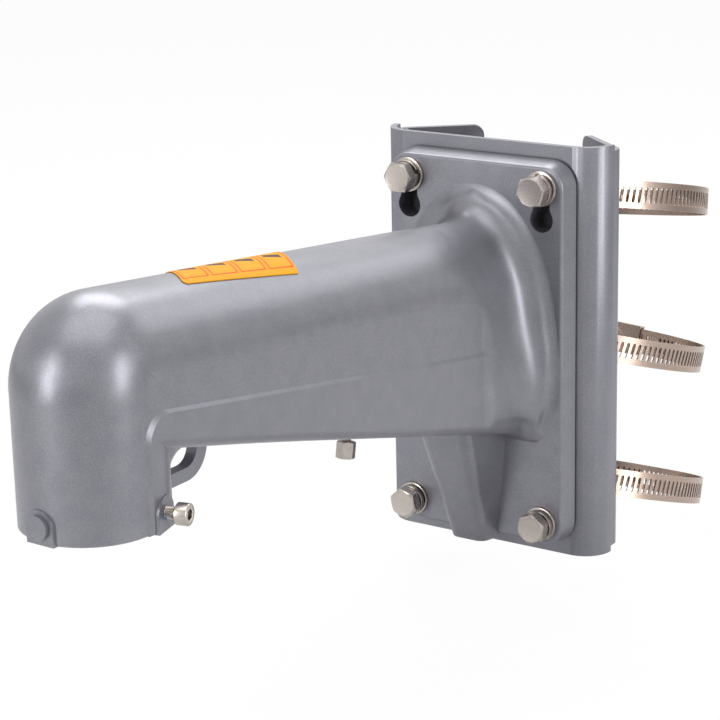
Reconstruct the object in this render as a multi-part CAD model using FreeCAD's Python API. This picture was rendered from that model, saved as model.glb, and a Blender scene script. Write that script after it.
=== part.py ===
import FreeCAD, Part
import math
import os

from FreeCAD import Placement, Rotation, Vector

# Pole mount bracket for a dome camera: a cast arm on a folded pole adapter, held by three worm-drive bands.
# Millimetres. X is across the pole, Y runs back towards the pole, Z is up.
# The origin is the middle of the plane through the two edges of the adapter on which the pole seats.

# Folded pole adapter
adapter_width = 117.0
adapter_height = 194.0
adapter_depth = 45.0
sheet = 3.0
wall_depth = 20.0
saddle_gap = 57.0
flange_drop = 2.75
front_bend_radius = 14.0
rear_bend_radius = 6.0
lip_corner_radius = 5.0
cable_hole_radius = 9.0
cable_hole_height = 23.6

# Band slots in the adapter lips
slot_end_margin = 30.0
slot_pitch = adapter_height / 2 - slot_end_margin
slot_height = 22.0
slot_width = 6.0

# Seal between the arm and the adapter
gasket_thickness = 1.5
gasket_inset = 0.4

# Flange plate of the casting
plate_side_margin = 11.0
plate_end_margin = 6.0
plate_width = adapter_width - 2 * plate_side_margin
plate_height = adapter_height - 2 * plate_end_margin
plate_thickness = 9.5
plate_draft = 2.0
plate_corner_radius = 12.0
plate_edge_radius = 1.5

# Bolts, washers and nuts
bolt_side_margin = 12.5
bolt_end_margin = 11.7
bolt_spacing_x = plate_width - 2 * bolt_side_margin
bolt_spacing_z = plate_height - 2 * bolt_end_margin
bolt_radius = 4.0
bolt_hole_radius = 4.5
bolt_length = 25.0
head_across_flats = 13.0
head_height = 5.3
head_chamfer = 0.6
flat_washer_radius = 8.0
flat_washer_thickness = 1.6
spring_washer_radius = 7.2
spring_washer_thickness = 2.2
spring_washer_rise = 1.5
spring_washer_opening = 16.0
spring_washer_turns = (20.0, 90.0, 160.0, 230.0)
washer_clearance = 0.2
nut_height = 4.0
head_turns = (0.0, 12.0, 43.0, 22.0)
thread_clearance = 0.05
seat_clearance = 0.02

# Keyholes of the two upper bolts
keyhole_drop = 14.3
keyhole_slot_radius = 4.3
keyhole_bulb_radius = 5.9
keyhole_blend_radius = 6.0

# Arm, neck and elbow
arm_reach = 309.0
neck_radius = 28.0
neck_bore_radius = 23.9
neck_rim_height = 1.7
rim_chamfer = 1.0
bend_radius = 6.4
crest_at_root = 61.9
crest_slope = 0.101
base_at_root = -36.2
base_slope = 0.265
crest_blend = 16.0
side_blend = 9.0
arch_length = 50.0
shoulder_drop = 20.0
arch_lean = 8.0
arch_narrowing = 3.0
arch_rise_share = 0.6
arch_cap_loss = 0.8
straight_stations = (0.25, 0.5, 0.75, 1.0)
arch_stations = (0.66, 0.42)
crest_stations = (1.0, 0.5, 0.2, 0.0)
root_sink_share = 0.7
underside_flare_share = 0.5
foot_widening = 3.0
under_edge_radius = 4.5
inner_edge_radius = 2.5
panel_step = 1.0
panel_ramp = 1.6
panel_ramp_margin = 0.3
panel_corner_radius = 10.0
panel_edge_near_neck = 47.0
panel_edge_at_plate = 4.0

# Cable hood under the arm
hood_top_projection = 29.0
hood_bottom_projection = 9.0
hood_top_height = -38.0
hood_front_half_width = 13.0
hood_base_half_width = 17.0
hood_bottom_narrowing = 4.5
hood_front_radius = 5.0
hood_wall = 3.5
hood_overlap = 16.0

# Safety eye
eye_thickness = 5.0
eye_reach = 37.5
eye_bar_width = 6.5
eye_bar_height = 5.5
eye_bottom_rise = 0.4
eye_outer_radius = 13.0

# Screws of the casting
lock_screw_angle = 104.0
lock_screw_rise = 6.8
lock_screw_radius = 2.5
lock_screw_length = 10.0
lock_screw_head_radius = 4.25
lock_screw_head_height = 5.0
lock_screw_socket = 4.0
lock_screw_socket_depth = 2.5
lock_screw_tip_gap = 0.1
pad_face_radius = 29.6
pad_radius = 6.5
boss_angle = -2.0
boss_radius = 4.7
boss_height = 1.6
earth_screw_reach = 165.5
earth_screw_lean = 10.0
earth_screw_radius = 2.0
earth_screw_head = 7.5
earth_screw_head_height = 7.5
earth_screw_gap = 5.2
earth_screw_length = 12.0
earth_boss_radius = 5.0
earth_boss_depth = 9.0
screw_slot_width = 1.2
screw_slot_depth = 1.5

# Worm-drive bands
band_radii = (67.7, 69.0, 68.4)
band_width = 12.7
band_thickness = 0.8
band_front_gap = 3.4
band_lap_gap = 0.3
band_head_angle = 9.0
band_shift_angle = 165.0
band_tail_angle = 26.0
band_tail_radius = 5.0
band_lifts = (0.86, 1.41, -1.4)
band_heights = (slot_pitch + band_lifts[0], band_lifts[1], band_lifts[2] - slot_pitch)
band_back_shifts = (0.0, 0.0, 0.95)
band_droops = (13.5, 16.3, 18.6)
band_rolls = (4.4, -3.5, 1.0)
housing_angles = (112.0, 88.0, 108.0)
housing_length = 15.0
housing_wall = 1.0
housing_clearance = 0.3
worm_radius = 3.4
worm_rise = 0.5
worm_shaft_radius = 2.2
worm_collar_radius = 3.9
worm_collar = 1.0
worm_head_across_flats = 7.0
worm_head_length = 5.5

# Label
label_thickness = 0.3
label_glue = 0.15
label_front = 236.5
label_rear = 171.2
label_near_x_front = 10.3
label_near_x_rear = 16.0
label_across = 29.0
label_skew = 36.0
label_corner_radius = 1.5
label_cut_height = 200.0

# Places that follow from the sizes above
face_y = -adapter_depth
web_back_y = face_y + sheet
gasket_front_y = face_y - gasket_thickness
plate_front_y = gasket_front_y - plate_thickness
neck_y = gasket_front_y - arm_reach + neck_radius
wall = neck_radius - neck_bore_radius
plate_bottom_z = -plate_height / 2
rim_z = neck_rim_height
screw_z = rim_z + lock_screw_rise
bolt_places = [(x, z) for z in (bolt_spacing_z / 2, -bolt_spacing_z / 2)
               for x in (-bolt_spacing_x / 2, bolt_spacing_x / 2)]


def block(x0, x1, y0, y1, z0, z1):
    return Part.makeBox(x1 - x0, y1 - y0, z1 - z0, Vector(x0, y0, z0))


def rod(radius, start, end):
    return Part.makeCylinder(radius, (end - start).Length, start, end - start)


def rounded_chain(points, radii, closed=True):
    """Edges through the points, with a tangent arc of the given radius at each corner."""
    count = len(points)
    ends = []
    for i in range(count):
        at = points[i]
        if radii[i] <= 0 or (not closed and i in (0, count - 1)):
            ends.append((at, None, at))
            continue
        back = (points[i - 1] - at).normalize()
        ahead = (points[(i + 1) % count] - at).normalize()
        half = math.acos(max(-1.0, min(1.0, back.dot(ahead)))) / 2
        reach = radii[i] / math.tan(half)
        bisector = (back + ahead).normalize()
        middle = at + bisector * (radii[i] / math.sin(half) - radii[i])
        ends.append((at + back * reach, middle, at + ahead * reach))
    edges = []
    for i in range(count):
        start, middle, end = ends[i]
        if middle is not None:
            edges.append(Part.Arc(start, middle, end).toShape())
        if i < count - 1 or closed:
            edges.append(Part.makeLine(end, ends[(i + 1) % count][0]))
    return edges


def rounded_face(points, radii):
    return Part.Face(Part.Wire(rounded_chain(points, radii)))


def hexagon(across_flats, centre, axis, turn, length):
    """Hexagonal prism that starts at centre and runs along axis."""
    radius = across_flats / math.sqrt(3)
    corners = []
    for i in range(7):
        angle = math.radians(60 * i + turn)
        corners.append(Vector(radius * math.cos(angle), radius * math.sin(angle), 0))
    prism = Part.Face(Part.makePolygon(corners)).extrude(Vector(0, 0, length))
    prism.Placement = Placement(centre, Rotation(Vector(0, 0, 1), axis))
    return prism


# Folded pole adapter

lip_run = (adapter_width - saddle_gap) / 2
lip_rise = adapter_depth - wall_depth
lip_angle = math.atan2(lip_rise, lip_run)
lip_direction = Vector(-math.cos(lip_angle), math.sin(lip_angle), 0)
lip_normal = Vector(math.sin(lip_angle), math.cos(lip_angle), 0)
knee = Vector(adapter_width / 2, face_y + wall_depth, 0)
lip_middle = knee - lip_normal * (sheet / 2)

# The band's circle runs just behind the web, and passes through the lip where the two lines cross.
band_front_y = web_back_y + band_front_gap
band_middle_radius = band_radii[1] + band_thickness / 2
band_centre_y = band_front_y + band_thickness + band_radii[1]


def crossing_of_band_and_lip():
    start = lip_middle - Vector(0, band_centre_y, 0)
    along = start.dot(lip_direction)
    offset = start.dot(start) - band_middle_radius ** 2
    return lip_middle + lip_direction * (-along - math.sqrt(along ** 2 - offset))


slot_place = crossing_of_band_and_lip()


def mirrored_x(shape):
    return shape.mirror(Vector(0, 0, 0), Vector(1, 0, 0))


def make_adapter():
    right = [Vector(adapter_width / 2, face_y, 0), knee, knee + lip_direction * math.hypot(lip_run, lip_rise)]
    outer = [Vector(-p.x, p.y, 0) for p in reversed(right)] + right
    knee_turn = (math.pi / 2 - lip_angle) / 2
    inner_corner = Vector(adapter_width / 2 - sheet, web_back_y, 0)
    inner_knee = Vector(knee.x - sheet, knee.y - sheet * math.tan(knee_turn), 0)
    inner_tip = right[2] - lip_normal * sheet
    inner_right = [inner_corner, inner_knee, inner_tip]
    inner = [Vector(-p.x, p.y, 0) for p in reversed(inner_right)] + inner_right
    outer_radii = [0, rear_bend_radius, front_bend_radius, front_bend_radius, rear_bend_radius, 0]
    inner_radii = [max(radius - sheet, 0) for radius in outer_radii]
    points = outer + list(reversed(inner))
    section = rounded_face(points, outer_radii + inner_radii)
    section.translate(Vector(0, 0, -adapter_height / 2))
    body = section.extrude(Vector(0, 0, adapter_height))
    flange_end = adapter_height / 2 - flange_drop
    for low, high in ((flange_end, adapter_height), (-adapter_height, -flange_end)):
        body = body.cut(block(-adapter_width, adapter_width, face_y + front_bend_radius, 1, low, high))
    body = body.makeFillet(lip_corner_radius, lip_corner_edges(body, right[2]))
    for place in (slot_pitch, 0, -slot_pitch):
        cut = block(-slot_width / 2, slot_width / 2, -2 * sheet, 2 * sheet, -slot_height / 2, slot_height / 2)
        cut.Placement = Placement(slot_place + Vector(0, 0, place), Rotation(Vector(0, 1, 0), lip_normal))
        body = body.cut(cut).cut(mirrored_x(cut))
    for x, z in bolt_places:
        body = body.cut(rod(bolt_hole_radius, Vector(x, face_y - 1, z), Vector(x, web_back_y + 1, z)))
    return body.cut(rod(cable_hole_radius, Vector(0, face_y - 1, cable_hole_height),
                        Vector(0, web_back_y + 1, cable_hole_height)))


def lip_corner_edges(body, tip):
    """The short edges across the sheet at the four free corners of the lips."""
    found = []
    for edge in body.Edges:
        centre = edge.CenterOfMass
        at_end = abs(abs(centre.z) - adapter_height / 2 + flange_drop) < 0.01
        at_tip = abs(abs(centre.x) - abs((tip - lip_normal * (sheet / 2)).x)) < 0.01
        if at_end and at_tip and abs(edge.Length - sheet) < 0.01:
            found.append(edge)
    return found


# Arm casting

arm_tilt = math.atan(crest_slope)
crest_radius = neck_radius + bend_radius
turn_y = neck_y + bend_radius
elbow_y = turn_y + crest_radius * math.sin(arm_tilt)


def arm_top(y):
    """Height of the arm's crest, which falls towards the plate."""
    return crest_at_root + (plate_front_y - y) * crest_slope


def arm_bottom(y):
    return base_at_root + (plate_front_y - y) * base_slope


turn_z = arm_top(elbow_y) - crest_radius * math.cos(arm_tilt)


# A quarter circle as a rational cubic curve: how far its inner poles reach to the corner, and their weight
round_reach = 2 - math.sqrt(2)
round_weight = (1 + math.sqrt(2)) / 3


def arm_section(y, half_width, crest, base, point, grow, foot_spread=0.0):
    """Arm outline at one station: flat base, small lower corners, flat sides and a crest.
    The crest is half round where point is 0, and a pointed arch where it is 1."""
    side = half_width + grow
    foot = side + foot_spread
    top = crest + grow
    low = base - grow
    radius = max(under_edge_radius + grow, inner_edge_radius)
    round_handle = round_reach * (neck_radius + grow)
    small_handle = round_reach * radius
    shoulder = crest - neck_radius - point * shoulder_drop
    rise = round_handle + point * shoulder_drop * arch_rise_share
    cap = round_handle * (1 - arch_cap_loss * point)
    lean = point * arch_lean
    base_end = Vector(foot - radius, y, low)
    foot_end = Vector(foot, y, low + radius)
    shoulder_end = Vector(side, y, shoulder)
    peak = Vector(0, y, top)
    corner_poles = [base_end, Vector(foot - radius + small_handle, y, low),
                    Vector(foot, y, foot_end.z - radius + small_handle), foot_end]
    crest_poles = [shoulder_end, Vector(side - lean, y, shoulder + rise), Vector(cap, y, top), peak]
    far_corner = [Vector(-p.x, p.y, p.z) for p in reversed(corner_poles)]
    far_crest = [Vector(-p.x, p.y, p.z) for p in reversed(crest_poles)]
    return [[far_corner[-1], base_end], corner_poles, [foot_end, shoulder_end], crest_poles, far_crest,
            [far_crest[-1], far_corner[0]], far_corner]


def pole_weights(count):
    return [1.0, round_weight, round_weight, 1.0] if count == 4 else [1.0] * count


def skin(stations):
    """Closed solid whose sides are smooth surfaces drawn through the stations' poles."""
    rows = len(stations)
    knots = [float(i) for i in range(rows - 2)]
    along_mults = [4] + [1] * (rows - 4) + [4]
    faces = []
    for k in range(len(stations[0])):
        poles = [[station[k][i] for station in stations] for i in range(len(stations[0][k]))]
        weights = [[weight] * rows for weight in pole_weights(len(poles))]
        degree = len(poles) - 1
        surface = Part.BSplineSurface()
        surface.buildFromPolesMultsKnots(poles, [degree + 1, degree + 1], along_mults, [0.0, 1.0], knots,
                                         False, False, degree, 3, weights)
        faces.append(surface.toShape())
    for station in (stations[0], stations[-1]):
        edges = []
        for poles in station:
            curve = Part.BezierCurve()
            curve.setPoles(poles)
            for i, weight in enumerate(pole_weights(len(poles))):
                curve.setWeight(i + 1, weight)
            edges.append(curve.toShape())
        faces.append(Part.Face(Part.Wire(edges)))
    shell = Part.makeShell(faces)
    shell.sewShape()
    solid = Part.makeSolid(shell)
    if solid.Volume < 0:
        solid.reverse()
    return solid


def arm_stations(grow, flared=True):
    """Outlines from the elbow to the plate. The last ones spread into the root flare."""
    first = arm_section(elbow_y, neck_radius, arm_top(elbow_y), arm_bottom(elbow_y), 0.0, grow)
    hinge = Vector(0, elbow_y, arm_top(elbow_y))
    tilt = Rotation(Vector(1, 0, 0), -math.degrees(arm_tilt))
    stations = [[[hinge + tilt.multVec(p - hinge) for p in poles] for poles in first]]
    root_start = plate_front_y - arch_length
    for part in straight_stations:
        y = elbow_y + (root_start - elbow_y) * part
        stations.append(arm_section(y, neck_radius, arm_top(y), arm_bottom(y), 0.0, grow))
    reaches = [part * arch_length for part in arch_stations] + [part * crest_blend for part in crest_stations]
    for reach in reaches:
        y = plate_front_y - reach
        point = 1.0 - reach / arch_length
        if flared:
            lift = crest_blend - math.sqrt(crest_blend ** 2 - (crest_blend - min(reach, crest_blend)) ** 2)
            spread = side_blend - math.sqrt(side_blend ** 2 - (side_blend - min(reach, side_blend)) ** 2)
        else:
            lift = 0.0
            spread = 0.0
        half_width = neck_radius - arch_narrowing * point + spread
        foot = foot_widening * point
        stations.append(arm_section(y, half_width, arm_top(y) + lift, arm_bottom(y) - spread * underside_flare_share,
                                    point, grow, foot))
    end_shift = Vector(0, plate_thickness * root_sink_share if flared else plate_thickness, 0)
    stations.append([[p + end_shift for p in poles] for poles in stations[-1]])
    return stations


def elbow_and_neck(radius, low_z):
    """Round tube that turns from the arm down into the neck."""
    turn_centre = Vector(0, turn_y, turn_z)
    circle = Part.Wire(Part.makeCircle(radius, turn_centre + Vector(0, 0, bend_radius), Vector(0, 1, 0)))
    outside = block(-2 * radius, 2 * radius, turn_y - 1, turn_y + 1, turn_z + 0.5, turn_z + 4 * radius)
    section = Part.Face(circle).common(outside).Faces[0]
    section.rotate(turn_centre, Vector(1, 0, 0), -math.degrees(arm_tilt))
    elbow = section.revolve(turn_centre, Vector(1, 0, 0), 90 + math.degrees(arm_tilt))
    neck = rod(radius, Vector(0, neck_y, low_z), Vector(0, neck_y, turn_z))
    rim = [edge for edge in neck.Edges if abs(edge.BoundBox.ZMax - low_z) < 0.01]
    return elbow.fuse(neck.makeChamfer(rim_chamfer, rim))


def elbow_sides(half_width, drop):
    """Flat sides inside the bend of the elbow."""
    side_height = arm_top(elbow_y) - neck_radius - arm_bottom(elbow_y)
    arm_side = Vector(0, turn_y + bend_radius * math.sin(arm_tilt), turn_z + bend_radius * math.cos(arm_tilt))
    middle_angle = math.radians(45) - arm_tilt / 2
    middle = Vector(0, turn_y - bend_radius * math.sin(middle_angle), turn_z + bend_radius * math.cos(middle_angle))
    neck_side = Vector(0, neck_y, turn_z)
    low_rear = arm_side - Vector(0, math.sin(arm_tilt), math.cos(arm_tilt)) * (side_height + drop)
    low_front = Vector(0, neck_y, low_rear.z)
    edges = [Part.Arc(arm_side, middle, neck_side).toShape(), Part.makeLine(neck_side, low_front),
             Part.makeLine(low_front, low_rear), Part.makeLine(low_rear, arm_side)]
    face = Part.Face(Part.Wire(edges))
    face.translate(Vector(-half_width, 0, 0))
    return face.extrude(Vector(2 * half_width, 0, 0))


def arm_body(grow, low_z, flared=True):
    arm = skin(arm_stations(grow, flared))
    tube = elbow_and_neck(neck_radius + grow, low_z)
    return arm.fuse([tube, elbow_sides(neck_radius + grow, grow)])


def outline_plate(width, height, radius, y):
    """Wire of a rectangle with rounded corners, facing along Y."""
    x = width / 2
    z = height / 2
    points = [Vector(-x, y, -z), Vector(x, y, -z), Vector(x, y, z), Vector(-x, y, z)]
    return Part.Wire(rounded_chain(points, [radius] * 4))


def make_plate():
    back = outline_plate(plate_width, plate_height, plate_corner_radius, gasket_front_y)
    front = outline_plate(plate_width - 2 * plate_draft, plate_height - 2 * plate_draft,
                          plate_corner_radius - plate_draft, plate_front_y)
    body = Part.makeLoft([back, front], True, True)
    edges = [edge for edge in body.Edges if abs(edge.BoundBox.YMax - plate_front_y) < 0.01]
    return body.makeFillet(plate_edge_radius, edges)


def make_keyhole(x, z):
    """Hole for a bolt with a wide opening below it, through which the bolt's head passes."""
    reach = keyhole_bulb_radius + keyhole_blend_radius
    blend_x = keyhole_slot_radius + keyhole_blend_radius
    rise = math.sqrt(reach ** 2 - blend_x ** 2)
    bulb_z = -keyhole_drop
    blend_z = bulb_z + rise
    blend_end = Vector(blend_x, 0, rise) * (keyhole_bulb_radius / reach) + Vector(0, 0, bulb_z)
    half_way = Vector(keyhole_slot_radius - blend_x + blend_end.x - blend_x, 0, blend_end.z - blend_z)
    blend_middle = Vector(blend_x, 0, blend_z) + half_way.normalize() * keyhole_blend_radius
    blend_start = Vector(keyhole_slot_radius, 0, blend_z)

    def other(p):
        return Vector(-p.x, 0, p.z)

    top = Vector(0, 0, keyhole_slot_radius)
    side = Vector(keyhole_slot_radius, 0, 0)
    edges = [Part.Arc(other(side), top, side).toShape(),
             Part.makeLine(side, blend_start),
             Part.Arc(blend_start, blend_middle, blend_end).toShape(),
             Part.Arc(blend_end, Vector(0, 0, bulb_z - keyhole_bulb_radius), other(blend_end)).toShape(),
             Part.Arc(other(blend_end), other(blend_middle), other(blend_start)).toShape(),
             Part.makeLine(other(blend_start), other(side))]
    face = Part.Face(Part.Wire(edges))
    face.translate(Vector(x, plate_front_y - 1, z))
    return face.extrude(Vector(0, plate_thickness + 2, 0))


def panel_region():
    """Part of the casting that stands proud: its underside and rear, up to a line along the sides."""
    rise = panel_edge_near_neck - panel_edge_at_plate
    run = plate_front_y - neck_y
    wires = []
    ramp_end = neck_radius + panel_step + panel_ramp_margin
    ramp_start = neck_radius - panel_ramp_margin
    slope = panel_ramp / panel_step
    end_spare = -panel_ramp_margin * slope
    start_spare = (panel_step + panel_ramp_margin) * slope
    for x, spare in ((-plate_width / 2, end_spare), (-ramp_end, end_spare), (-ramp_start, start_spare),
                     (ramp_start, start_spare), (ramp_end, end_spare), (plate_width / 2, end_spare)):
        corner_y = neck_y - spare
        slope_z = panel_edge_near_neck + spare
        low_z = plate_bottom_z / 2
        rear_z = panel_edge_at_plate + spare - rise / run * (gasket_front_y - plate_front_y)
        points = [Vector(x, gasket_front_y, rear_z), Vector(x, corner_y, slope_z), Vector(x, corner_y, low_z),
                  Vector(x, gasket_front_y, low_z)]
        wires.append(Part.Wire(rounded_chain(points, [0, panel_corner_radius, 0, 0])))
    return Part.makeLoft(wires, True, True)


def hood_body(inset, back_y, low_z):
    """Cable hood under the arm, narrower and flatter towards the bottom of the plate."""
    fall = hood_top_height - plate_bottom_z
    wires = []
    for z in (hood_top_height + hood_overlap, low_z):
        t = (hood_top_height - z) / fall
        front = plate_front_y - hood_top_projection + t * (hood_top_projection - hood_bottom_projection) + inset
        front_half = hood_front_half_width - t * hood_bottom_narrowing - inset
        base_half = hood_base_half_width - t * hood_bottom_narrowing - inset
        radius = hood_front_radius - inset
        points = [Vector(-base_half, back_y, z), Vector(-front_half, front, z), Vector(front_half, front, z),
                  Vector(base_half, back_y, z)]
        wires.append(Part.Wire(rounded_chain(points, [0, radius, radius, 0])))
    return Part.makeLoft(wires, True, True)


def make_eye():
    rear = neck_y + neck_radius + eye_reach
    low = rim_z + eye_bottom_rise
    inner_radius = eye_outer_radius - (eye_bar_width + eye_bar_height) / 2
    high_rear = arm_bottom(rear) + wall / 2
    high_inner = arm_bottom(rear - eye_bar_width) + wall / 2
    inner_rear = rear - eye_bar_width
    inner_low = low + eye_bar_height
    joint_y = neck_y + neck_bore_radius + wall / 2
    points = [Vector(0, joint_y, low), Vector(0, rear, low), Vector(0, rear, high_rear),
              Vector(0, inner_rear, high_inner), Vector(0, inner_rear, inner_low), Vector(0, joint_y, inner_low)]
    face = rounded_face(points, [0, eye_outer_radius, 0, 0, inner_radius, 0])
    face.translate(Vector(-eye_thickness / 2, 0, 0))
    return face.extrude(Vector(eye_thickness, 0, 0))


def neck_direction(angle):
    """Outward direction on the neck, from the front towards the right."""
    turn = math.radians(angle)
    return Vector(math.sin(turn), -math.cos(turn), 0)


def neck_pad(angle, face_radius):
    """Flat pad with a round top that runs down to the rim."""
    length = face_radius - neck_bore_radius - wall / 2
    body = block(-pad_radius, pad_radius, 0, length, rim_z - screw_z, 0)
    body = body.fuse(Part.makeCylinder(pad_radius, length, Vector(), Vector(0, 1, 0)))
    inner = neck_direction(angle) * (neck_bore_radius + wall / 2)
    body.Placement = Placement(inner + Vector(0, neck_y, screw_z), Rotation(Vector(0, 0, 1), angle - 180))
    return body


def along_neck(angle, radius):
    return Vector(0, neck_y, screw_z) + neck_direction(angle) * radius


lock_head_radius = neck_bore_radius + lock_screw_tip_gap + lock_screw_length
lock_travel = lock_head_radius - pad_face_radius

# Direction in which the earth screw comes out of the underside, and the place where it enters
below = Vector(0, -math.tan(math.radians(earth_screw_lean)), -1).normalize()
earth_y = neck_y + earth_screw_reach
earth_entry = Vector(0, earth_y, arm_bottom(earth_y) - panel_step)


def make_casting():
    body = arm_body(0.0, rim_z)
    panel = arm_body(panel_step, rim_z).common(panel_region())
    front_pad_face = pad_face_radius - panel_step
    boss = rod(boss_radius, along_neck(boss_angle, neck_radius), along_neck(boss_angle, front_pad_face + boss_height))
    body = body.fuse([make_plate(), panel, hood_body(0.0, plate_front_y + plate_thickness / 2, plate_bottom_z),
                      make_eye(), neck_pad(lock_screw_angle, pad_face_radius), neck_pad(boss_angle, front_pad_face),
                      boss])
    body = body.cut(arm_body(-wall, rim_z - 2, False))
    body = body.cut(hood_body(hood_wall, gasket_front_y + 1, plate_bottom_z - 1))
    body = body.fuse(rod(earth_boss_radius, earth_entry - below * (wall / 2), earth_entry - below * earth_boss_depth))
    body = body.cut(rod(earth_screw_radius + thread_clearance, earth_entry + below,
                        earth_entry - below * (earth_boss_depth + 1)))
    body = body.cut(rod(lock_screw_radius + thread_clearance, along_neck(lock_screw_angle, neck_bore_radius - 2),
                        along_neck(lock_screw_angle, lock_head_radius)))
    for x, z in bolt_places:
        if z > 0:
            body = body.cut(make_keyhole(x, z))
        else:
            body = body.cut(rod(bolt_hole_radius, Vector(x, plate_front_y - 1, z), Vector(x, gasket_front_y + 1, z)))
    return body.removeSplitter()


def make_gasket():
    outline = outline_plate(plate_width - 2 * gasket_inset, plate_height - 2 * gasket_inset,
                            plate_corner_radius - gasket_inset, gasket_front_y)
    body = Part.Face(outline).extrude(Vector(0, gasket_thickness, 0))
    for x, z in bolt_places:
        body = body.cut(rod(bolt_hole_radius, Vector(x, gasket_front_y - 1, z), Vector(x, face_y + 1, z)))
    return body.cut(rod(cable_hole_radius, Vector(0, gasket_front_y - 1, cable_hole_height),
                        Vector(0, face_y + 1, cable_hole_height)))


# Bolts, washers and nuts

spring_front_y = plate_front_y - flat_washer_thickness - spring_washer_thickness - spring_washer_rise
head_seat_y = spring_front_y - 2 * seat_clearance


def make_bolt(x, z, turn):
    seat = Vector(x, head_seat_y, z)
    head = hexagon(head_across_flats, seat, Vector(0, -1, 0), turn, head_height)
    corner = head_across_flats / math.sqrt(3)
    round_blank = Part.makeCylinder(corner, head_height, seat, Vector(0, -1, 0))
    rim = [edge for edge in round_blank.Edges if abs(edge.BoundBox.YMax - seat.y + head_height) < 0.01]
    round_blank = round_blank.makeChamfer(head_chamfer, rim)
    shank = rod(bolt_radius, seat, seat + Vector(0, bolt_length, 0))
    return head.common(round_blank).fuse(shank).removeSplitter()


def make_flat_washer(x, z):
    seat = Vector(x, plate_front_y, z)
    front = seat - Vector(0, flat_washer_thickness, 0)
    return rod(flat_washer_radius, front, seat).cut(rod(bolt_radius + washer_clearance, front, seat))


def make_spring_washer(x, z, opening):
    """One open coil of square wire. Its ends stand apart by the rise."""
    inner = bolt_radius + washer_clearance
    steps = 14
    wires = []
    for i in range(steps + 1):
        t = i / steps
        angle = math.radians(opening + spring_washer_opening / 2 + t * (360 - spring_washer_opening))
        low = plate_front_y - flat_washer_thickness - seat_clearance - t * spring_washer_rise
        out = Vector(math.cos(angle), 0, math.sin(angle))
        centre = Vector(x, 0, z)
        corners = [centre + out * r + Vector(0, y, 0)
                   for r, y in ((inner, low), (spring_washer_radius, low),
                                (spring_washer_radius, low - spring_washer_thickness),
                                (inner, low - spring_washer_thickness))]
        wires.append(Part.makePolygon(corners + corners[:1]))
    return Part.makeLoft(wires, True, True)


def make_nut(x, z, turn):
    seat = Vector(x, web_back_y, z)
    body = hexagon(head_across_flats, seat, Vector(0, 1, 0), turn, nut_height)
    return body.cut(rod(bolt_radius + thread_clearance, seat - Vector(0, 1, 0), seat + Vector(0, nut_height + 1, 0)))


# Screws of the casting

def make_lock_screw():
    seat = along_neck(lock_screw_angle, lock_head_radius)
    out = neck_direction(lock_screw_angle)
    body = rod(lock_screw_radius, along_neck(lock_screw_angle, neck_bore_radius + lock_screw_tip_gap), seat)
    body = body.fuse(rod(lock_screw_head_radius, seat, seat + out * lock_screw_head_height))
    socket_floor = seat + out * (lock_screw_head_height - lock_screw_socket_depth)
    return body.cut(hexagon(lock_screw_socket, socket_floor, out, 0, lock_screw_socket_depth + 1))


def make_earth_screw():
    seat = earth_entry + below * earth_screw_gap
    body = rod(earth_screw_radius, seat, seat - below * earth_screw_length)
    body = body.fuse(hexagon(earth_screw_head, seat, below, 12, earth_screw_head_height))
    slot = block(-earth_screw_head, earth_screw_head, -screw_slot_width / 2, screw_slot_width / 2,
                 earth_screw_head_height - screw_slot_depth, earth_screw_head_height + 1)
    slot.Placement = Placement(seat, Rotation(Vector(0, 0, 1), below))
    return body.cut(slot)


# Worm-drive bands, drawn in their own plane with the housing towards +Y and the free end beyond it towards +X

band_step = (band_thickness + band_lap_gap) / 2
housing_half = housing_length / 2


def lap_top(radius):
    """Outside of the free end, which lies over the first layer."""
    return radius + 2 * band_step + band_thickness


def worm_height(radius):
    return lap_top(radius) + worm_rise + worm_radius


def on_ring(radius, turn, centre=Vector()):
    """Point on a circle, with the turn counted from the housing past the free end."""
    angle = math.radians(90 - turn)
    return centre + Vector(radius * math.cos(angle), radius * math.sin(angle), 0)


def ring_arc(radius, start, end, centre):
    half_way = (start + end) / 2
    return Part.Arc(on_ring(radius, start, centre), on_ring(radius, half_way, centre),
                    on_ring(radius, end, centre)).toShape()


def make_band(radius):
    shifted = on_ring(-band_step, band_shift_angle)
    opposite = band_shift_angle + 180
    end = 360 + band_tail_angle
    middle = Vector()
    tail_radius = radius + 2 * band_step
    runs = [(radius, -band_head_angle, band_shift_angle, middle),
            (radius + band_step, band_shift_angle, opposite, shifted),
            (tail_radius, opposite, end, middle)]
    inner = [ring_arc(r, a, b, c) for r, a, b, c in runs]
    outer = [ring_arc(r + band_thickness, a, b, c) for r, a, b, c in runs]
    tail_edge = Part.makeLine(on_ring(tail_radius, end), on_ring(tail_radius + band_thickness, end))
    head_edge = Part.makeLine(on_ring(radius, -band_head_angle), on_ring(radius + band_thickness, -band_head_angle))
    face = Part.Face(Part.Wire(inner + [tail_edge] + outer[::-1] + [head_edge]))
    face.translate(Vector(0, 0, -band_width / 2))
    body = face.extrude(Vector(0, 0, band_width))
    tail = on_ring(tail_radius + band_thickness / 2, end)
    corners = []
    for edge in body.Edges:
        off = edge.CenterOfMass - tail
        if math.hypot(off.x, off.y) < 0.01 and edge.Length < 2 * band_thickness:
            corners.append(edge)
    return body.makeFillet(band_tail_radius, corners)


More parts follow.
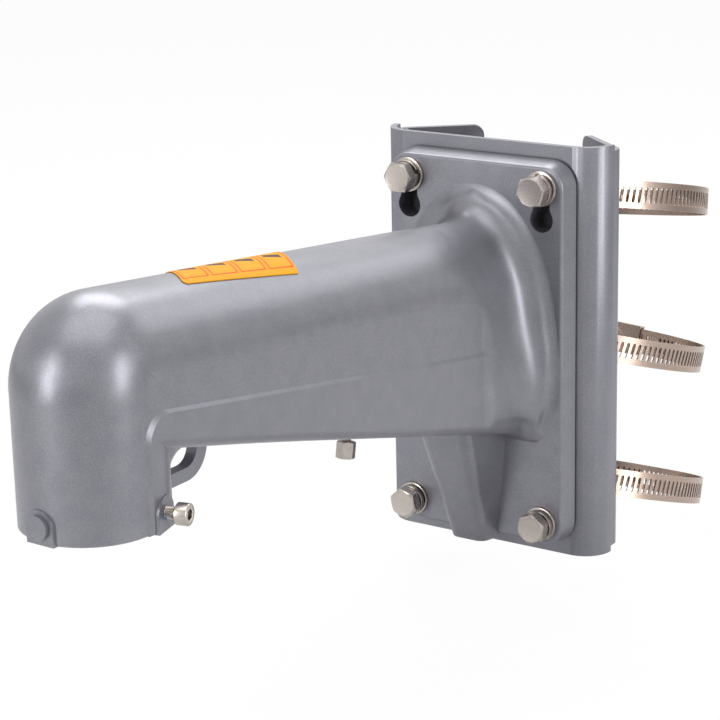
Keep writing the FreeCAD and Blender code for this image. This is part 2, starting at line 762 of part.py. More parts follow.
def make_housing(radius):
    inner_half = band_width / 2 + housing_clearance
    outer_half = inner_half + housing_wall
    floor = math.sqrt(radius ** 2 - housing_half ** 2) - seat_clearance
    lap = lap_top(radius)
    worm_y = worm_height(radius)
    inner_top = lap + housing_clearance
    saddle_top = inner_top + housing_wall
    space = worm_radius + housing_clearance
    arch = space + housing_wall
    body = block(-housing_half, housing_half, floor - housing_wall, saddle_top, -outer_half, outer_half)
    body = body.fuse([block(-housing_half, housing_half, lap, worm_y, -arch, arch),
                      rod(arch, Vector(-housing_half, worm_y, 0), Vector(housing_half, worm_y, 0))])
    body = body.cut(block(-housing_length, housing_length, floor, inner_top, -inner_half, inner_half))
    end = housing_half - housing_wall
    body = body.cut(block(-end, end, lap, worm_y, -space, space))
    body = body.cut(rod(space, Vector(-end, worm_y, 0), Vector(end, worm_y, 0)))
    hole = worm_shaft_radius + thread_clearance
    body = body.cut(rod(hole, Vector(-housing_length, worm_y, 0), Vector(housing_length, worm_y, 0)))
    return body.removeSplitter()


def make_worm_screw(radius):
    worm_y = worm_height(radius)
    worm_end = housing_half - housing_wall - housing_clearance
    collar_start = housing_half + housing_clearance
    collar_end = collar_start + worm_collar
    head_end = collar_end + worm_head_length
    body = rod(worm_radius, Vector(-worm_end, worm_y, 0), Vector(worm_end, worm_y, 0))
    shaft = rod(worm_shaft_radius, Vector(-housing_half, worm_y, 0), Vector(collar_start, worm_y, 0))
    collar = rod(worm_collar_radius, Vector(collar_start, worm_y, 0), Vector(collar_end, worm_y, 0))
    head = hexagon(worm_head_across_flats, Vector(collar_end, worm_y, 0), Vector(1, 0, 0), 10, worm_head_length)
    body = body.fuse([shaft, collar, head])
    slot = block(head_end - screw_slot_depth, head_end + 1, worm_y - screw_slot_width / 2,
                 worm_y + screw_slot_width / 2, -worm_head_across_flats, worm_head_across_flats)
    return body.cut(slot)


def ring_place(i):
    """Where band number i lies: it droops behind the line through its two slots."""
    pivot = Vector(0, slot_place.y, 0)
    centre_y = band_front_y + band_thickness + band_radii[i] + band_back_shifts[i]
    droop = Placement(Vector(), Rotation(Vector(1, 0, 0), -band_droops[i]))
    roll = Placement(pivot + Vector(0, 0, band_heights[i]), Rotation(Vector(0, 1, 0), -band_rolls[i]))
    own = Placement(Vector(0, centre_y, 0) - pivot, Rotation(Vector(0, 0, 1), housing_angles[i] - 90))
    return roll.multiply(droop).multiply(own)


def placed(shape, place):
    copy = shape.copy()
    copy.Placement = place.multiply(copy.Placement)
    return copy


# Label

def make_label():
    lean = Vector(-label_across, label_across * math.tan(math.radians(label_skew)), 0)
    near_front = Vector(label_near_x_front, face_y - label_front, 0)
    near_rear = Vector(label_near_x_rear, face_y - label_rear, 0)
    points = [near_front, near_rear, near_rear + lean, near_front + lean]
    region = rounded_face(points, [label_corner_radius] * 4).extrude(Vector(0, 0, label_cut_height))
    region.translate(Vector(0, 0, arm_bottom(near_front.y) + neck_radius))
    grown = skin(arm_stations(label_glue + label_thickness)).common(region)
    return grown.cut(skin(arm_stations(label_glue)))


def main():
    os.makedirs("parts", exist_ok=True)
    names = ("top", "middle", "bottom")
    nodes = {
        "arm_casting": make_casting(),
        "pole_adapter": make_adapter(),
        "plate_gasket": make_gasket(),
        "hex_bolts": Part.makeCompound([make_bolt(x, z, turn) for (x, z), turn in zip(bolt_places, head_turns)]),
        "flat_washers": Part.makeCompound([make_flat_washer(x, z) for x, z in bolt_places]),
        "spring_washers": Part.makeCompound([make_spring_washer(x, z, turn)
                                             for (x, z), turn in zip(bolt_places, spring_washer_turns)]),
        "adapter_nuts": Part.makeCompound([make_nut(x, z, turn) for (x, z), turn in zip(bolt_places, head_turns)]),
        "neck_lock_screw": make_lock_screw(),
        "earth_screw": make_earth_screw(),
        "amber_label": make_label(),
    }
    for i, (name, radius) in enumerate(zip(names, band_radii)):
        nodes["clamp_band_" + name] = placed(make_band(radius), ring_place(i))
        nodes["clamp_housing_" + name] = placed(make_housing(radius), ring_place(i))
        nodes["worm_screw_" + name] = placed(make_worm_screw(radius), ring_place(i))
    for name, shape in nodes.items():
        shape.exportStep("parts/" + name + ".step")


if __name__ == "__main__":
    main()
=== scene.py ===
import bpy
import bmesh
import math
import numpy as np

from mathutils import Matrix, Vector
from mathutils.bvhtree import BVHTree


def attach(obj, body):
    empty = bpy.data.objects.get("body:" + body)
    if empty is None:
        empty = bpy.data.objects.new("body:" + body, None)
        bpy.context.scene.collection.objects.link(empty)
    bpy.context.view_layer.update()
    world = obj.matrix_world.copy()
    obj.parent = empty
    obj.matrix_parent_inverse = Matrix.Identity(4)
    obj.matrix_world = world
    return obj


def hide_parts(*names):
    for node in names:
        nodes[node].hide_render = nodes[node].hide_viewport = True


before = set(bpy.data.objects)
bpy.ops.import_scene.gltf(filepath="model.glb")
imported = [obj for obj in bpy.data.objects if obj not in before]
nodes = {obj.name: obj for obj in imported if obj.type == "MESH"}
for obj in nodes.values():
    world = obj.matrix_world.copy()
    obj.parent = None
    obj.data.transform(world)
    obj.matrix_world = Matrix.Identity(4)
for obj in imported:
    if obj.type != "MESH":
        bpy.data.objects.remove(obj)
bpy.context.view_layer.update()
mm = 0.001
zAxis = Vector((0, 0, 1))


def at(x, y, z):
    return Vector((x, y, z)) * mm


def sine(degrees):
    return math.sin(math.radians(degrees))


def cosine(degrees):
    return math.cos(math.radians(degrees))


# Camera, fitted to the product picture
cameraFit = {
    "eye": (522.9, -918.9, 290.0),
    "azimuth": 34.26,
    "elevation": 16.27,
    "roll": -1.31,
    "lens": 112.98,
}


def makeCamera(fit):
    azimuth, elevation = fit["azimuth"], fit["elevation"]
    back = Vector((sine(azimuth) * cosine(elevation), -cosine(azimuth) * cosine(elevation), sine(elevation)))
    level = (-back).cross(zAxis).normalized()
    upright = level.cross(-back)
    right = cosine(fit["roll"]) * level + sine(fit["roll"]) * upright
    up = cosine(fit["roll"]) * upright - sine(fit["roll"]) * level
    data = bpy.data.cameras.new("productCamera")
    data.lens = fit["lens"]
    data.sensor_width = 36
    data.clip_start = 0.05
    data.clip_end = 60
    camera = bpy.data.objects.new("productCamera", data)
    bpy.context.collection.objects.link(camera)
    facingBack = Matrix((right, up, back)).transposed().to_4x4()
    camera.matrix_world = Matrix.Translation(at(*fit["eye"])) @ facingBack
    bpy.context.scene.camera = camera


makeCamera(cameraFit)
print("camera ready")


# Material tools
def fromHex(code):
    channels = [int(code[i:i + 2], 16) / 255 for i in (1, 3, 5)]
    linear = [c / 12.92 if c <= 0.04045 else ((c + 0.055) / 1.055) ** 2.4 for c in channels]
    return (*linear, 1)


# A key is the node's own property, or the name or number of an input. Text for an input is a hex colour.
def addNode(tree, kind, settings=None, links=None):
    made = tree.nodes.new(kind)
    for key, value in (settings or {}).items():
        if isinstance(key, str) and hasattr(made, key):
            setattr(made, key, value)
        elif isinstance(value, str):
            made.inputs[key].default_value = fromHex(value)
        else:
            made.inputs[key].default_value = value
    for key, source in (links or {}).items():
        tree.links.new(source, made.inputs[key])
    return made


def newMaterial(name, settings):
    material = bpy.data.materials.new(name)
    material.use_nodes = True
    tree = material.node_tree
    shader = tree.nodes["Principled BSDF"]
    for key, value in settings.items():
        shader.inputs[key].default_value = value
    return material, tree, shader


# Powder coat, silver-grey polyester with aluminium flake, sprayed and baked
powderCoat = {
    "dark": "#7B7B83",
    "light": "#818188",
    "flake": "#A3A3AA",
    "pit": "#68686F",
    "flakeSize": 0.42,  # real flake is under 0.1 mm, drawn this coarse so that it shows
    "mottleSize": 9.0,
    "peelSize": 2.6,
    "metallic": 0.5,
    "roughness": (0.34, 0.38),
}


def makePowderCoat(name, coat):
    material, tree, shader = newMaterial(name, {"Metallic": coat["metallic"], "IOR": 1.5})
    place = addNode(tree, "ShaderNodeTexCoord").outputs["Object"]
    flake, mottle, peel = [
        addNode(tree, "ShaderNodeTexNoise", {"Scale": 1 / (coat[size] * mm), "Detail": detail},
                {"Vector": place}).outputs[0]
        for size, detail in (("flakeSize", 2.0), ("mottleSize", 3.0), ("peelSize", 1.0))]
    level = addNode(tree, "ShaderNodeMapRange", {1: 0.35, 2: 0.65}, {0: mottle}).outputs[0]
    colour = addNode(tree, "ShaderNodeMix", {"data_type": "RGBA", 6: coat["dark"], 7: coat["light"]},
                     {0: level}).outputs[2]
    # Bright flake and small pits stand at the two ends of one noise
    for speck, low, high, most in (("flake", 0.54, 0.78, 0.55), ("pit", 0.46, 0.24, 0.5)):
        share = addNode(tree, "ShaderNodeMapRange", {1: low, 2: high, 4: most}, {0: flake}).outputs[0]
        colour = addNode(tree, "ShaderNodeMix", {"data_type": "RGBA", 7: coat[speck]},
                         {0: share, 6: colour}).outputs[2]
    smoothest, roughest = coat["roughness"]
    sheen = addNode(tree, "ShaderNodeMapRange", {1: 0.3, 2: 0.7, 3: smoothest, 4: roughest}, {0: mottle})
    # Orange peel and the grain of the flake break up the edge of each reflection
    fine = addNode(tree, "ShaderNodeBump", {"Strength": 0.05, "Distance": 0.05 * mm}, {"Height": flake})
    broad = addNode(tree, "ShaderNodeBump", {"Strength": 0.06, "Distance": 0.1 * mm},
                    {"Height": peel, "Normal": fine.outputs[0]})
    tree.links.new(colour, shader.inputs["Base Color"])
    tree.links.new(sheen.outputs[0], shader.inputs["Roughness"])
    tree.links.new(broad.outputs[0], shader.inputs["Normal"])
    return material


castPowderCoat = makePowderCoat("silverPowderCoatOnCasting", powderCoat)
sheetPowderCoat = makePowderCoat("silverPowderCoatOnSheet", {
    **powderCoat, "dark": "#7C7C84", "light": "#808087", "mottleSize": 14.0, "roughness": (0.33, 0.36)})


# Stainless steel, A2: a warm grey metal with soft, slightly worn reflections.
# Sizes are in mm, and scratches are counted to the metre.
def makeSteel(name, form):
    material, tree, shader = newMaterial(name, {"Metallic": 1.0})
    place = addNode(tree, "ShaderNodeTexCoord").outputs["Object"]
    patch = addNode(tree, "ShaderNodeTexNoise", {"Scale": 1 / (form["patchSize"] * mm), "Detail": 4.0},
                    {"Vector": place}).outputs[0]
    drawn = addNode(tree, "ShaderNodeMapping", {"Scale": form["scratches"]}, {"Vector": place}).outputs[0]
    scratch = addNode(tree, "ShaderNodeTexNoise", {"Scale": 1.0, "Detail": 2.0}, {"Vector": drawn}).outputs[0]
    level = addNode(tree, "ShaderNodeMapRange", {1: 0.3, 2: 0.7}, {0: patch}).outputs[0]
    colour = addNode(tree, "ShaderNodeMix", {"data_type": "RGBA", 6: form["dark"], 7: form["light"]},
                     {0: level})
    smoothest, roughest = form["roughness"]
    sheen = addNode(tree, "ShaderNodeMapRange", {1: 0.3, 2: 0.7, 3: smoothest, 4: roughest}, {0: scratch})
    relief = addNode(tree, "ShaderNodeBump", {"Strength": 0.02, "Distance": 0.01 * mm}, {"Height": scratch})
    if "ringPitch" in form:
        # A wave texture of scale 1 has one ring in each 0.314 m
        rings = addNode(tree, "ShaderNodeTexWave",
                        {"wave_type": "RINGS", "rings_direction": "Z",
                         "Scale": 0.314 / (form["ringPitch"] * mm)},
                        {"Vector": place}).outputs[1]
        relief = addNode(tree, "ShaderNodeBump", {"Strength": 0.03, "Distance": 0.004 * mm},
                         {"Height": rings, "Normal": relief.outputs[0]})
    tree.links.new(colour.outputs[2], shader.inputs["Base Color"])
    tree.links.new(sheen.outputs[0], shader.inputs["Roughness"])
    tree.links.new(relief.outputs[0], shader.inputs["Normal"])
    return material


# Cold headed and tumbled. The turning marks on the heads are coarser than real ones, so that they show.
boltSteel = makeSteel("stainlessSteelColdHeaded", {
    "dark": "#B0A8A2",
    "light": "#B8B0AA",
    "roughness": (0.24, 0.28),
    "patchSize": 3.0,
    "scratches": (2500, 2500, 2500),
    "ringPitch": 0.35,
})
# Stamped and barrel finished: fine short lines
washerSteel = makeSteel("stainlessSteelStamped", {
    "dark": "#A69E98",
    "light": "#AEA6A0",
    "roughness": (0.26, 0.30),
    "patchSize": 3.0,
    "scratches": (2500, 2500, 800),
})
# Rolled strip has long scratches and a warmer tone
stripSteel = makeSteel("stainlessSteelRolledStrip", {
    "dark": "#A59387",
    "light": "#AB998E",
    "roughness": (0.26, 0.31),
    "patchSize": 12.0,
    "scratches": (160, 160, 2600),
})

# Black, dull sheet between the casting plate and the adapter, with a faint talc bloom; its black is painted
# shade for the dark gap at the plate's edge and inside the keyholes
gapShadeSheet = {
    "dark": "#121214",
    "light": "#232327",
    "roughness": (0.62, 0.8),
    "grainsPerMetre": 420.0,
    "detail": 4.0,
    "relief": 0.3,
    "reliefDepth": 0.05,
}
# Thread-locking resin, dried: a matt blue crust
lockResin = {
    "dark": "#1E6FB4",
    "light": "#4E9BD6",
    "roughness": (0.5, 0.5),
    "grainsPerMetre": 2200.0,
    "detail": 3.0,
    "relief": 0.4,
    "reliefDepth": 0.1,
}


# One grain gives tone, sheen and relief
def makeGrained(name, form):
    material, tree, shader = newMaterial(name, {"IOR": 1.5})
    place = addNode(tree, "ShaderNodeTexCoord").outputs["Object"]
    grain = addNode(tree, "ShaderNodeTexNoise", {"Scale": form["grainsPerMetre"], "Detail": form["detail"]},
                    {"Vector": place}).outputs[0]
    colour = addNode(tree, "ShaderNodeMix", {"data_type": "RGBA", 6: form["dark"], 7: form["light"]},
                     {0: grain})
    smoothest, roughest = form["roughness"]
    sheen = addNode(tree, "ShaderNodeMapRange", {1: 0.3, 2: 0.7, 3: smoothest, 4: roughest}, {0: grain})
    relief = addNode(tree, "ShaderNodeBump",
                     {"Strength": form["relief"], "Distance": form["reliefDepth"] * mm}, {"Height": grain})
    tree.links.new(colour.outputs[2], shader.inputs["Base Color"])
    tree.links.new(sheen.outputs[0], shader.inputs["Roughness"])
    tree.links.new(relief.outputs[0], shader.inputs["Normal"])
    return material


# The sheet's black is painted shade for the gap and the keyholes
gapShadeBlack = makeGrained("blackSheetPaintedGapShade", gapShadeSheet)
resin = makeGrained("blueThreadLockResin", lockResin)

# Polyester label film, printed, matt: amber with four plain framed fields, each with one dark leaning bar
label = {
    "corner": (10.3, -281.5),
    "along": (5.7, 65.3),
    "across": (-29.0, 21.07),
    "fields": 4,
    "fieldLength": 16.4,
    "fieldHeight": 30.7,
    "frame": (6.9, 11.6),
    "line": 0.5,
    "bar": (4.6, 2.1),
    "barLean": 0.35,
    "barSoftness": 0.12,
    "film": "#E29A00",
    "sun": "#E6A106",
    "frameInk": "#F04A08",
    "barInk": "#40302E",
}


def makeLabelFilm(form):
    material, tree, shader = newMaterial("amberLabelFilm",
                                         {"IOR": 1.5, "Roughness": 0.6, "Specular IOR Level": 0.2})
    place = addNode(tree, "ShaderNodeTexCoord").outputs["Object"]
    fromCorner = addNode(tree, "ShaderNodeVectorMath", {"operation": "SUBTRACT", 1: at(*form["corner"], 0)},
                         {0: place}).outputs[0]
    (ax, ay), (bx, by) = form["along"], form["across"]
    area = (ax * by - ay * bx) * mm
    # Shares of the label's two sides, turned to millimetres from the middle of a field
    toField = (("MULTIPLY", form["fields"]), ("FRACT", 0), ("SUBTRACT", 0.5),
               ("MULTIPLY", form["fieldLength"]))
    toMiddle = (("SUBTRACT", 0.5), ("MULTIPLY", form["fieldHeight"]))
    measures = []
    for direction, steps in (((by / area, -bx / area, 0), toField), ((-ay / area, ax / area, 0), toMiddle)):
        measure = addNode(tree, "ShaderNodeVectorMath", {"operation": "DOT_PRODUCT", 1: direction},
                          {0: fromCorner}).outputs["Value"]
        for operation, amount in steps:
            measure = addNode(tree, "ShaderNodeMath", {"operation": operation, 1: amount},
                              {0: measure}).outputs[0]
        measures.append(measure)
    along, up = measures
    leaning = addNode(tree, "ShaderNodeMath", {"operation": "MULTIPLY_ADD", 1: form["barLean"]},
                      {0: along, 2: up}).outputs[0]
    # How far a point is outside the frame's box and outside the bar's
    distances = []
    for height, (halfLength, halfHeight) in ((up, form["frame"]), (leaning, form["bar"])):
        sides = []
        for measure, half in ((along, halfLength), (height, halfHeight)):
            size = addNode(tree, "ShaderNodeMath", {"operation": "ABSOLUTE"}, {0: measure}).outputs[0]
            beyond = addNode(tree, "ShaderNodeMath", {"operation": "SUBTRACT", 1: half}, {0: size})
            sides.append(beyond.outputs[0])
        outside = addNode(tree, "ShaderNodeMath", {"operation": "MAXIMUM"}, dict(enumerate(sides)))
        distances.append(outside.outputs[0])
    frameEdge = addNode(tree, "ShaderNodeMath", {"operation": "ABSOLUTE"}, {0: distances[0]}).outputs[0]

    fade = addNode(tree, "ShaderNodeTexNoise", {"Scale": 60.0, "Detail": 2.0}, {"Vector": place}).outputs[0]
    colour = addNode(tree, "ShaderNodeMix", {"data_type": "RGBA", 6: form["film"], 7: form["sun"]},
                     {0: fade}).outputs[2]
    line, soft = form["line"], form["barSoftness"]
    for distance, clear, inked, ink in ((frameEdge, line, line * 0.5, form["frameInk"]),
                                        (distances[1], soft, -soft, form["barInk"])):
        share = addNode(tree, "ShaderNodeMapRange", {1: clear, 2: inked}, {0: distance}).outputs[0]
        colour = addNode(tree, "ShaderNodeMix", {"data_type": "RGBA", 7: ink},
                         {0: share, 6: colour}).outputs[2]
    wrinkle = addNode(tree, "ShaderNodeBump", {"Strength": 0.1, "Distance": 0.1 * mm}, {"Height": fade})
    tree.links.new(colour, shader.inputs["Base Color"])
    tree.links.new(wrinkle.outputs[0], shader.inputs["Normal"])
    return material


labelFilm = makeLabelFilm(label)
print("materials ready")


# Mesh tools. Each piece is drawn in millimetres about its own axis, Z, and then put in place.
def loopOf(mesh, points):
    return [mesh.verts.new(point) for point in points]


def bridge(mesh, lower, upper):
    count = len(lower)
    for i in range(count):
        mesh.faces.new((lower[i], lower[(i + 1) % count], upper[(i + 1) % count], upper[i]))


def cap(mesh, loop, height, upward=True):
    centre = mesh.verts.new((0, 0, height))
    for i in range(len(loop)):
        pair = (loop[i], loop[(i + 1) % len(loop)])
        mesh.faces.new((*pair, centre) if upward else (*pair[::-1], centre))


def circle(radius, height, steps=72):
    return [(radius * cosine(360 * i / steps), radius * sine(360 * i / steps), height) for i in range(steps)]


def lathe(mesh, profile, steps=72, closed=False):
    loops = [loopOf(mesh, circle(r, z, steps)) for r, z in profile]
    for lower, upper in zip(loops, loops[1:]):
        bridge(mesh, lower, upper)
    if closed:
        bridge(mesh, loops[-1], loops[0])
    return loops


def hexRadius(acrossFlats, angle):
    return acrossFlats / 2 / cosine((angle % 60) - 30)


def hexLoop(acrossFlats, turn, heightAt, steps=72):
    points = []
    for i in range(steps):
        angle = 360 * i / steps
        radius = hexRadius(acrossFlats, angle)
        points.append((radius * cosine(angle + turn), radius * sine(angle + turn), heightAt(radius)))
    return points


def hexBody(mesh, acrossFlats, height, turn, faceRadius, chamferBelow=False, start=0.0):
    drop = math.tan(math.radians(30))
    loops = []
    if chamferBelow:
        loops.append(loopOf(mesh, [(x, y, start) for x, y, z in turned(circle(faceRadius, 0), turn)]))
        loops.append(loopOf(mesh, hexLoop(acrossFlats, turn, lambda r: start + (r - faceRadius) * drop)))
    else:
        loops.append(loopOf(mesh, hexLoop(acrossFlats, turn, lambda r: start)))
    loops.append(loopOf(mesh, hexLoop(acrossFlats, turn, lambda r: start + height - (r - faceRadius) * drop)))
    loops.append(loopOf(mesh, turned(circle(faceRadius, start + height), turn)))
    for lower, upper in zip(loops, loops[1:]):
        bridge(mesh, lower, upper)
    return loops


def turned(points, degrees):
    return [(x * cosine(degrees) - y * sine(degrees), x * sine(degrees) + y * cosine(degrees), z)
            for x, y, z in points]


# A screw thread as a relief whose ridge climbs once round for each pitch
def threadLoops(mesh, radius, pitch, depth, start, end, runOut=0.0, samples=8, steps=48):
    count = max(2, round((end - start) / pitch * samples))
    loops = []
    for k in range(count + 1):
        z = start + (end - start) * k / count
        points = []
        for i in range(steps):
            phase = ((z - start) / pitch - i / steps) % 1
            ridge = min(1, max(0, (abs(phase - 0.5) * 2 - 0.12) / 0.76))
            fade = min(1, (z - start) / runOut, (end - z) / runOut) if runOut else 1
            r = radius - depth * (ridge + (1 - ridge) * (1 - max(0, fade)))
            points.append((r * cosine(360 * i / steps), r * sine(360 * i / steps), z))
        loops.append(loopOf(mesh, points))
    for lower, upper in zip(loops, loops[1:]):
        bridge(mesh, lower, upper)
    return loops


def finishPiece(name, mesh, place, material, body, replaced=(), sharpAngle=34, ownAxes=True):
    bmesh.ops.recalc_face_normals(mesh, faces=mesh.faces)
    for face in mesh.faces:
        face.smooth = True
    for edge in mesh.edges:
        if len(edge.link_faces) == 2 and edge.calc_face_angle(0) > math.radians(sharpAngle):
            edge.smooth = False
    bmesh.ops.scale(mesh, vec=(mm, mm, mm), verts=mesh.verts)
    data = bpy.data.meshes.new(name)
    mesh.to_mesh(data)
    mesh.free()
    data.materials.append(material)
    piece = bpy.data.objects.new(name, data)
    bpy.context.collection.objects.link(piece)
    if ownAxes:
        piece.matrix_world = place
    else:
        data.transform(place)
    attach(piece, body)
    if replaced:
        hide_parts(*replaced)
    return piece


def facing(origin, axis):
    return Matrix.Translation(at(*origin)) @ zAxis.rotation_difference(Vector(axis)).to_matrix().to_4x4()


# A straight screwdriver slot across the top of a head, cut from the finished mesh
def cutSlot(piece, width, depth, top, reach):
    data = bpy.data.meshes.new("slotTool")
    tool = bmesh.new()
    bmesh.ops.create_cube(tool, size=1)
    bmesh.ops.scale(tool, vec=(reach * 2 * mm, width * mm, (depth + 1) * mm), verts=tool.verts)
    bmesh.ops.translate(tool, vec=(0, 0, (top - depth / 2 + 0.5) * mm), verts=tool.verts)
    tool.to_mesh(data)
    tool.free()
    cutter = bpy.data.objects.new("slotTool", data)
    bpy.context.collection.objects.link(cutter)
    cutter.matrix_world = piece.matrix_world
    carve = piece.modifiers.new("slot", "BOOLEAN")
    carve.operation = "DIFFERENCE"
    carve.object = cutter
    bpy.context.view_layer.update()
    carved = bpy.data.meshes.new_from_object(piece.evaluated_get(bpy.context.evaluated_depsgraph_get()))
    piece.modifiers.clear()
    piece.data = carved
    bpy.data.objects.remove(cutter)


# Hexagon bolts with washers and nuts. Faces are bare, with turning marks only.
fastener = {
    "places": ((-35, 79.3), (35, 79.3), (-35, -79.3), (35, -79.3)),
    "turns": (0, 12, 43, 22),
    "plateFront": -56.0,
    "headSeat": -61.34,
    "webBack": -42.0,
    "acrossFlats": 13.0,
    "headHeight": 5.3,
    "faceRadius": 6.05,
    "dishInset": 0.5,
    "dishRim": 0.06,
    "dishDepth": 0.1,
    "shank": 4.0,
    "boltLength": 25.0,
    "plainShank": 13.4,
    "threadStart": 13.6,
    "pitch": 1.25,
    "threadDepth": 0.68,
    "nutHeight": 4.0,
    "flatRadius": 8.0,
    "flatThickness": 1.6,
    "springRadius": 7.2,
    "springWire": 2.2,
    "springRise": 1.5,
    "springGap": 16.0,
    "bore": 4.2,
}


def makeBolt(i, form):
    x, z = form["places"][i]
    mesh = bmesh.new()
    turn = form["turns"][i]
    loops = hexBody(mesh, form["acrossFlats"], form["headHeight"], turn, form["faceRadius"])
    rim = circle(form["faceRadius"] - form["dishInset"], form["headHeight"] - form["dishRim"])
    dish = loopOf(mesh, turned(rim, turn))
    bridge(mesh, loops[-1], dish)
    cap(mesh, dish, form["headHeight"] - form["dishDepth"])
    neck = loopOf(mesh, circle(form["shank"], 0))
    bridge(mesh, loops[0], neck)
    # The shank runs back from the head, threaded where the nut sits
    shankEnd = loopOf(mesh, circle(form["shank"], -form["plainShank"]))
    bridge(mesh, neck, shankEnd)
    thread = threadLoops(mesh, form["shank"], form["pitch"], form["threadDepth"], -form["boltLength"],
                         -form["threadStart"], runOut=0.7, steps=72)
    bridge(mesh, shankEnd, thread[-1])
    cap(mesh, thread[0], -form["boltLength"], upward=False)
    finishPiece(f"hexBolt{i + 1}", mesh, facing((x, form["headSeat"], z), (0, -1, 0)), boltSteel, "bracket",
                ("hex_bolts",))


def makeFlatWasher(i, form):
    x, z = form["places"][i]
    mesh = bmesh.new()
    inner, outer, thick, edge = form["bore"], form["flatRadius"], form["flatThickness"], 0.3
    profile = [(inner, 0.15), (inner + 0.15, 0), (outer - 0.1, 0), (outer, 0.1), (outer, thick - edge),
               (outer - edge * 0.3, thick - edge * 0.3), (outer - edge, thick), (inner + 0.2, thick),
               (inner, thick - 0.2)]
    lathe(mesh, profile, closed=True)
    finishPiece(f"flatWasher{i + 1}", mesh, facing((x, form["plateFront"], z), (0, -1, 0)), washerSteel,
                "bracket", ("flat_washers",))


# One open coil of square wire, its ends a little apart
def makeSpringWasher(i, form):
    x, z = form["places"][i]
    mesh = bmesh.new()
    steps, soft = 80, 0.22
    inner, outer, thick = form["bore"], form["springRadius"], form["springWire"]
    section = [(inner + soft, 0), (outer - soft, 0), (outer, soft), (outer, thick - soft),
               (outer - soft, thick), (inner + soft, thick), (inner, thick - soft), (inner, soft)]
    opening = 20 + 70 * i + form["springGap"] / 2
    loops = []
    for k in range(steps + 1):
        t = k / steps
        angle = opening + t * (360 - form["springGap"])
        low = form["flatThickness"] + 0.02 + t * form["springRise"]
        # Seen from the front the coil turns the same way as its solid
        loops.append(loopOf(mesh, [(r * cosine(angle), r * sine(angle), low + h) for r, h in section]))
    for lower, upper in zip(loops, loops[1:]):
        bridge(mesh, lower, upper)
    mesh.faces.new(loops[0][::-1])
    mesh.faces.new(loops[-1])
    finishPiece(f"springWasher{i + 1}", mesh, facing((x, form["plateFront"], z), (0, -1, 0)), washerSteel,
                "bracket", ("spring_washers",))


def makeNut(i, form):
    x, z = form["places"][i]
    mesh = bmesh.new()
    turn = form["turns"][i]
    height, bore = form["nutHeight"], form["shank"] + 0.05
    loops = hexBody(mesh, form["acrossFlats"], height, turn, form["faceRadius"], chamferBelow=True)
    mouths = [loopOf(mesh, turned(circle(r, h), turn))
              for r, h in ((bore + 0.5, height), (bore, height - 0.5), (bore, 0.5), (bore + 0.5, 0))]
    chain = [loops[-1], *mouths, loops[0]]
    for lower, upper in zip(chain, chain[1:]):
        bridge(mesh, lower, upper)
    finishPiece(f"adapterNut{i + 1}", mesh, facing((x, form["webBack"], z), (0, 1, 0)), boltSteel, "bracket",
                ("adapter_nuts",))


for number in range(4):
    makeBolt(number, fastener)
    makeFlatWasher(number, fastener)
    makeSpringWasher(number, fastener)
    makeNut(number, fastener)
print("fasteners ready")

# Socket screw that locks the camera in the neck
lockScrew = {
    "origin": (0, -327.5, 8.5),
    "angle": 104.0,
    "seat": 34.0,
    "radius": 2.5,
    "length": 10.0,
    "pitch": 0.8,
    "threadDepth": 0.42,
    "headRadius": 4.25,
    "headHeight": 5.0,
    "socket": 4.0,
    "socketDepth": 2.5,
    "resinStart": -4.45,
    "resinLength": 1.5,
    "resinAngle": 104.0,
    "resinFacing": (0.3, -0.8, -1),
    "resinSteps": (8, 12),
}


def makeLockScrew(form):
    out = Vector((sine(form["angle"]), -cosine(form["angle"]), 0))
    seat = Vector(form["origin"]) + out * form["seat"]
    place = facing(seat, out)
    mesh = bmesh.new()
    r, h = form["headRadius"], form["headHeight"]
    under = loopOf(mesh, circle(form["radius"] - 0.1, 0, 48))
    rings = [under] + lathe(mesh, [(r - 0.25, 0), (r, 0.25), (r, h - 0.55), (r - 0.1, h - 0.3),
                                   (r - 0.35, h - 0.08), (r - 0.6, h)], 48)
    bridge(mesh, under, rings[1])
    floor = h - form["socketDepth"]
    rim = loopOf(mesh, hexLoop(form["socket"] + 0.5, 0, lambda a: h, 48))
    mouth = loopOf(mesh, hexLoop(form["socket"], 0, lambda a: h - 0.25, 48))
    bottom = loopOf(mesh, hexLoop(form["socket"], 0, lambda a: floor, 48))
    for lower, upper in zip((rings[-1], rim, mouth), (rim, mouth, bottom)):
        bridge(mesh, lower, upper)
    cap(mesh, bottom, floor - 0.5)
    thread = threadLoops(mesh, form["radius"], form["pitch"], form["threadDepth"], -form["length"], -0.25,
                         runOut=0.4)
    bridge(mesh, thread[-1], under)
    cap(mesh, thread[0], -form["length"], upward=False)
    finishPiece("lockScrew", mesh, place, boltSteel, "lock_screw", ("neck_lock_screw",))

    # Dried resin lies in the lower threads, near the boss
    mesh = bmesh.new()
    down = (place.inverted().to_3x3() @ Vector(form["resinFacing"])).normalized()
    middle = math.degrees(math.atan2(down.y, down.x))
    lengthSteps, turnSteps = form["resinSteps"]
    rows = []
    for k in range(lengthSteps + 1):
        z = form["resinStart"] + form["resinLength"] * k / lengthSteps
        row = []
        for i in range(turnSteps + 1):
            angle = middle - form["resinAngle"] / 2 + form["resinAngle"] * i / turnSteps
            edgeFade = sine(180 * k / lengthSteps) * sine(180 * i / turnSteps)
            radius = form["radius"] - form["threadDepth"] - 0.2 + 0.6 * min(1, edgeFade * 1.8)
            row.append(mesh.verts.new((radius * cosine(angle), radius * sine(angle), z)))
        rows.append(row)
    for lower, upper in zip(rows, rows[1:]):
        for i in range(turnSteps):
            mesh.faces.new((lower[i], lower[i + 1], upper[i + 1], upper[i]))
    finishPiece("threadLockResin", mesh, place, resin, "lock_screw", sharpAngle=80)


makeLockScrew(lockScrew)

